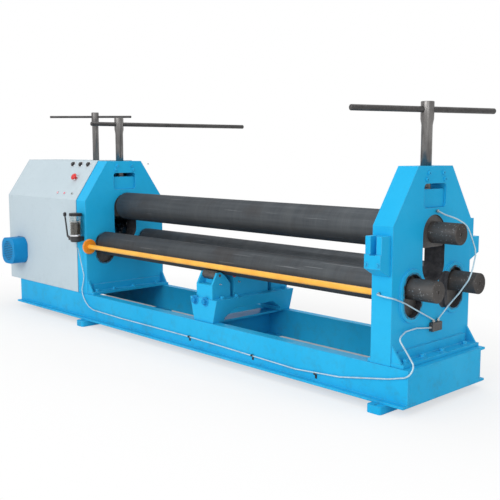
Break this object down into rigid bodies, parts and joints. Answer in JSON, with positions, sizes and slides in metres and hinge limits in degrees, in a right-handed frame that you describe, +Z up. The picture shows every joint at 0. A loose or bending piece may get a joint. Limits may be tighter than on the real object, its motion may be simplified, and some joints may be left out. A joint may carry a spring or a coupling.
{
  "type": "plate bending machine",
  "caption": "Floor-standing roll bending machine: a top roll pressed down by hand screws over powered lower rolls bends flat plate into curves.",
  "frame": {"origin": "centre of the bounding box on the floor, under the foot bars", "axes": "+X along the rolls towards their free shaft ends, +Y from the operator's side to the rear, +Z up"},
  "size_m": [3.978, 1.5354, 1.535],
  "materials": {
    "blue_paint": "glossy machine enamel",
    "cover_paint": "semi-gloss light grey enamel",
    "dark_steel": "dark oiled steel, turned",
    "bright_steel": "machined steel",
    "bronze": "machined bronze",
    "yellow_paint": "glossy warning yellow enamel",
    "black_plastic": "moulded black plastic",
    "clear_plastic": "clear moulded cup with a dark lid",
    "red_plastic": "moulded red plastic",
    "belt_rubber": "ribbed rubber belt"
  },
  "bodies": {
    "machine_frame": {"base_front_beam": "blue_paint", "base_rear_beam": "blue_paint", "base_end_beam_left": "blue_paint", "base_end_beam_right": "blue_paint", "base_cross_member": "blue_paint", "foot_bar_left": "blue_paint", "foot_bar_right": "blue_paint", "drive_bed": "blue_paint", "left_side_frame": "blue_paint", "right_side_frame": "blue_paint", "front_bearing_left": "dark_steel", "front_bearing_right": "dark_steel", "rear_bearing_left": "dark_steel", "rear_bearing_right": "dark_steel", "left_screw_nut": "blue_paint", "right_screw_nut": "blue_paint", "balance_bridge": "blue_paint", "gearbox": "blue_paint", "motor": "blue_paint", "motor_cowl": "blue_paint", "gear_cover_front": "cover_paint", "gear_cover_rear": "cover_paint", "gear_cover_end": "cover_paint", "center_support": "blue_paint", "guide_bracket_front": "blue_paint", "guide_bracket_rear": "blue_paint", "safety_rod": "yellow_paint", "lube_pump_body": "black_plastic", "lube_reservoir": "clear_plastic", "lube_manifold": "bright_steel", "lube_line_main": "bright_steel", "lube_line_lower": "bright_steel", "lube_line_upper": "bright_steel", "drive_belt": "belt_rubber"},
    "carriage": {"top_bearing_left": "dark_steel", "top_bearing_right": "dark_steel"},
    "top_roll_body": {"top_roll": "dark_steel"},
    "right_screw_body": {"right_screw": "dark_steel"},
    "right_bar_body": {"right_tommy_bar": "dark_steel"},
    "left_screw_body": {"left_screw": "dark_steel"},
    "left_bar_body": {"left_tommy_bar": "dark_steel"},
    "shoe_body": {"balance_shoe": "bronze"},
    "balance_screw_body": {"balance_screw": "dark_steel"},
    "balance_bar_body": {"balance_tommy_bar": "dark_steel"},
    "front_roll_body": {"front_lower_roll": "dark_steel", "front_roll_gear": "bright_steel"},
    "rear_roll_body": {"rear_lower_roll": "dark_steel", "rear_roll_gear": "bright_steel"},
    "pinion_body": {"drive_pinion": "bright_steel"},
    "gearbox_pulley_body": {"gearbox_pulley": "bright_steel"},
    "motor_pulley_body": {"motor_pulley": "bright_steel"},
    "front_outer_roller_body": {"front_outer_roller": "dark_steel"},
    "front_inner_roller_body": {"front_inner_roller": "dark_steel"},
    "rear_inner_roller_body": {"rear_inner_roller": "dark_steel"},
    "rear_outer_roller_body": {"rear_outer_roller": "dark_steel"},
    "left_button_body": {"push_button_left": "black_plastic"},
    "middle_button_body": {"push_button_middle": "black_plastic"},
    "right_button_body": {"push_button_right": "black_plastic"},
    "stop_body": {"emergency_stop": "red_plastic"},
    "lever_body": {"lube_lever": "black_plastic"}
  },
  "joints": [
    {"name": "top_roll_lift", "type": "slide", "parent": "machine_frame", "child": "carriage", "axis": [0, 0, 1], "range_m": [-0.1051, 0]},
    {"name": "top_roll_spin", "type": "hinge", "parent": "carriage", "child": "top_roll_body", "pos_m": [0.441, -0.3077, 0.842], "axis": [1, 0, 0], "continuous": true},
    {"name": "right_screw_turn", "type": "hinge", "parent": "carriage", "child": "right_screw_body", "pos_m": [1.774, -0.3077, 0.9135], "axis": [0, 0, 1], "range_deg": [-3150, 0]},
    {"name": "right_bar_slide", "type": "slide", "parent": "right_screw_body", "child": "right_bar_body", "axis": [0.309, 0.9511, 0], "range_m": [-0.38, 0.38]},
    {"name": "left_screw_turn", "type": "hinge", "parent": "carriage", "child": "left_screw_body", "pos_m": [-0.899, -0.3077, 0.9135], "axis": [0, 0, 1], "range_deg": [-250, 90]},
    {"name": "left_bar_slide", "type": "slide", "parent": "left_screw_body", "child": "left_bar_body", "axis": [0.1736, 0.9848, 0], "range_m": [-0.87, 0]},
    {"name": "balance_shoe_slide", "type": "slide", "parent": "machine_frame", "child": "shoe_body", "axis": [0, 0, 1], "range_m": [0, 0.0501]},
    {"name": "balance_screw_turn", "type": "hinge", "parent": "shoe_body", "child": "balance_screw_body", "pos_m": [-1.217, -0.3077, 0.909], "axis": [0, 0, 1], "range_deg": [0, 3000]},
    {"name": "balance_bar_slide", "type": "slide", "parent": "balance_screw_body", "child": "balance_bar_body", "axis": [0.7314, 0.682, 0], "range_m": [-0.24, 0.24]},
    {"name": "motor_spin", "type": "hinge", "parent": "machine_frame", "child": "motor_pulley_body", "pos_m": [-1.804, -0.1117, 0.459], "axis": [0, 1, 0], "continuous": true},
    {"name": "gearbox_pulley_spin", "type": "hinge", "parent": "machine_frame", "child": "gearbox_pulley_body", "pos_m": [-1.309, -0.1117, 0.57379], "axis": [0, 1, 0], "continuous": true},
    {"name": "pinion_spin", "type": "hinge", "parent": "machine_frame", "child": "pinion_body", "pos_m": [-1.029, -0.3077, 0.47879], "axis": [1, 0, 0], "continuous": true},
    {"name": "front_roll_spin", "type": "hinge", "parent": "machine_frame", "child": "front_roll_body", "pos_m": [0.441, -0.4917, 0.58], "axis": [1, 0, 0], "continuous": true},
    {"name": "rear_roll_spin", "type": "hinge", "parent": "machine_frame", "child": "rear_roll_body", "pos_m": [0.441, -0.1237, 0.58], "axis": [1, 0, 0], "continuous": true},
    {"name": "front_outer_roller_spin", "type": "hinge", "parent": "machine_frame", "child": "front_outer_roller_body", "pos_m": [0.441, -0.5677, 0.50006], "axis": [1, 0, 0], "continuous": true},
    {"name": "front_inner_roller_spin", "type": "hinge", "parent": "machine_frame", "child": "front_inner_roller_body", "pos_m": [0.441, -0.4157, 0.50006], "axis": [1, 0, 0], "continuous": true},
    {"name": "rear_inner_roller_spin", "type": "hinge", "parent": "machine_frame", "child": "rear_inner_roller_body", "pos_m": [0.441, -0.1997, 0.50006], "axis": [1, 0, 0], "continuous": true},
    {"name": "rear_outer_roller_spin", "type": "hinge", "parent": "machine_frame", "child": "rear_outer_roller_body", "pos_m": [0.441, -0.0477, 0.50006], "axis": [1, 0, 0], "continuous": true},
    {"name": "left_button_press", "type": "slide", "parent": "machine_frame", "child": "left_button_body", "axis": [0, -0.824, 0.5665], "range_m": [-0.004, 0], "stiffness_N_per_m": 800},
    {"name": "middle_button_press", "type": "slide", "parent": "machine_frame", "child": "middle_button_body", "axis": [0, -0.824, 0.5665], "range_m": [-0.004, 0], "stiffness_N_per_m": 800},
    {"name": "right_button_press", "type": "slide", "parent": "machine_frame", "child": "right_button_body", "axis": [0, -0.824, 0.5665], "range_m": [-0.004, 0], "stiffness_N_per_m": 800},
    {"name": "emergency_stop_press", "type": "slide", "parent": "machine_frame", "child": "stop_body", "axis": [0, -0.824, 0.5665], "range_m": [-0.006, 0], "stiffness_N_per_m": 1500},
    {"name": "lube_lever_swing", "type": "hinge", "parent": "machine_frame", "child": "lever_body", "pos_m": [-0.947, -0.7117, 0.62], "axis": [0, 1, 0], "range_deg": [-70, 0]}
  ],
  "couplings": [
    {"joint": "top_roll_lift", "follows": "right_screw_turn", "m_per_rad": 0.0019099},
    {"joint": "balance_shoe_slide", "follows": "balance_screw_turn", "m_per_rad": 0.00095493},
    {"joint": "gearbox_pulley_spin", "follows": "motor_spin", "ratio": 0.4},
    {"joint": "pinion_spin", "follows": "motor_spin", "ratio": 0.013333},
    {"joint": "front_roll_spin", "follows": "motor_spin", "ratio": -0.0066667},
    {"joint": "rear_roll_spin", "follows": "motor_spin", "ratio": -0.0066667},
    {"joint": "front_outer_roller_spin", "follows": "motor_spin", "ratio": 0.020494},
    {"joint": "front_inner_roller_spin", "follows": "motor_spin", "ratio": 0.020494},
    {"joint": "rear_inner_roller_spin", "follows": "motor_spin", "ratio": 0.020494},
    {"joint": "rear_outer_roller_spin", "follows": "motor_spin", "ratio": 0.020494}
  ]
}
